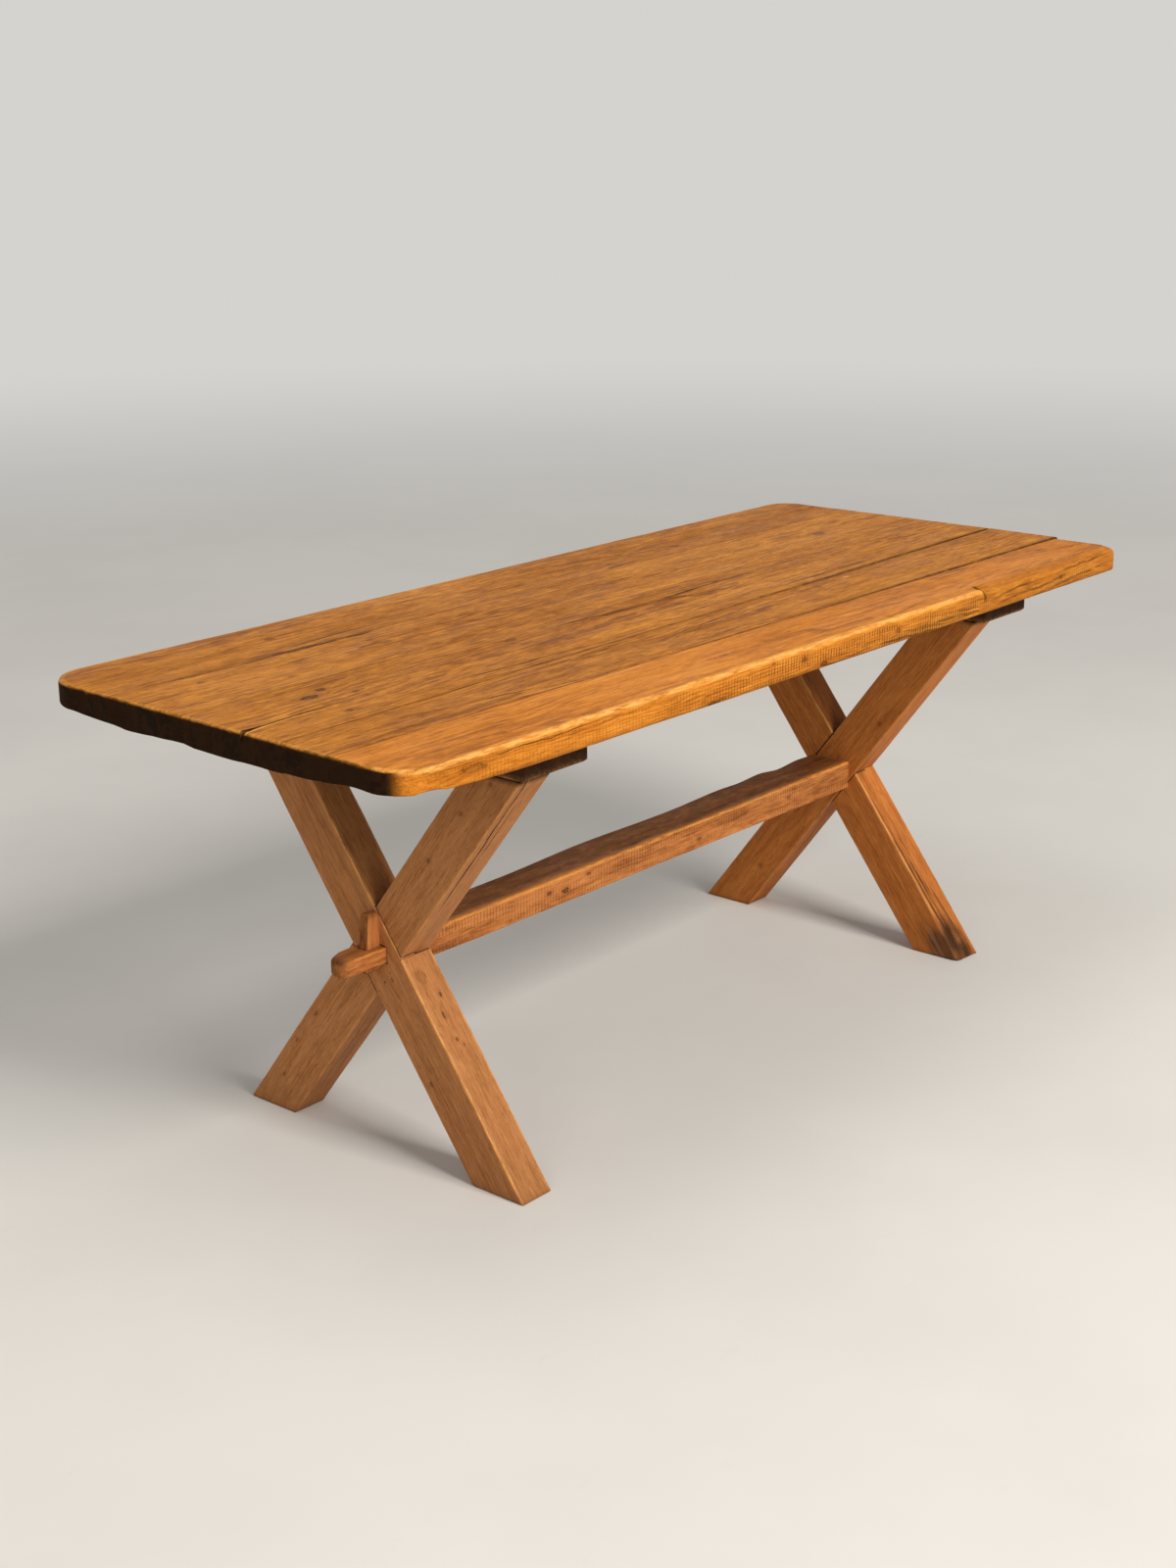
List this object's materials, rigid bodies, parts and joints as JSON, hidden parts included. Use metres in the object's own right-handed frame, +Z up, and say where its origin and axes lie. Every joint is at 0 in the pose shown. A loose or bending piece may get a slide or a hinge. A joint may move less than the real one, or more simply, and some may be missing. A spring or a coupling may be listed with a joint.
{
  "type": "sawbuck table",
  "caption": "Long dining table with a thick edge-jointed plank top on crossed-beam trestles, tied by a low stretcher whose through tenons are locked by tapered keys.",
  "frame": {"origin": "on the floor, under the middle of the table top", "axes": "+X along the table, +Y towards its back, +Z up"},
  "size_m": [1.8998, 0.77, 0.75],
  "materials": {
    "top_wood": "honey-brown waxed planks, satin, worn",
    "cleat_wood": "dark brown oiled wood, matt",
    "leg_wood": "tan-brown waxed wood, satin",
    "stretcher_wood": "reddish-brown waxed wood, satin",
    "key_wood": "brown waxed wood, satin",
    "tongue_wood": "bare wood, matt",
    "screw_steel": "dull steel"
  },
  "bodies": {
    "table": {"top_board_back": "top_wood", "top_board_mid_back": "top_wood", "top_board_centre": "top_wood", "top_board_mid_front": "top_wood", "top_board_front": "top_wood", "seam_1_tongue": "tongue_wood", "seam_2_tongue": "tongue_wood", "seam_3_tongue": "tongue_wood", "seam_4_tongue": "tongue_wood", "left_cleat": "cleat_wood", "left_cleat_screws": "screw_steel", "left_leg_outer": "leg_wood", "left_leg_inner": "leg_wood", "right_cleat": "cleat_wood", "right_cleat_screws": "screw_steel", "right_leg_outer": "leg_wood", "right_leg_inner": "leg_wood", "stretcher": "stretcher_wood"},
    "left_key": {"left_key": "key_wood"},
    "right_key": {"right_key": "key_wood"}
  },
  "joints": [
    {"name": "left_key_slide", "type": "slide", "parent": "table", "child": "left_key", "axis": [0, 0, -1], "range_m": [0, 0.09]},
    {"name": "right_key_slide", "type": "slide", "parent": "table", "child": "right_key", "axis": [0, 0, -1], "range_m": [0, 0.09]}
  ]
}
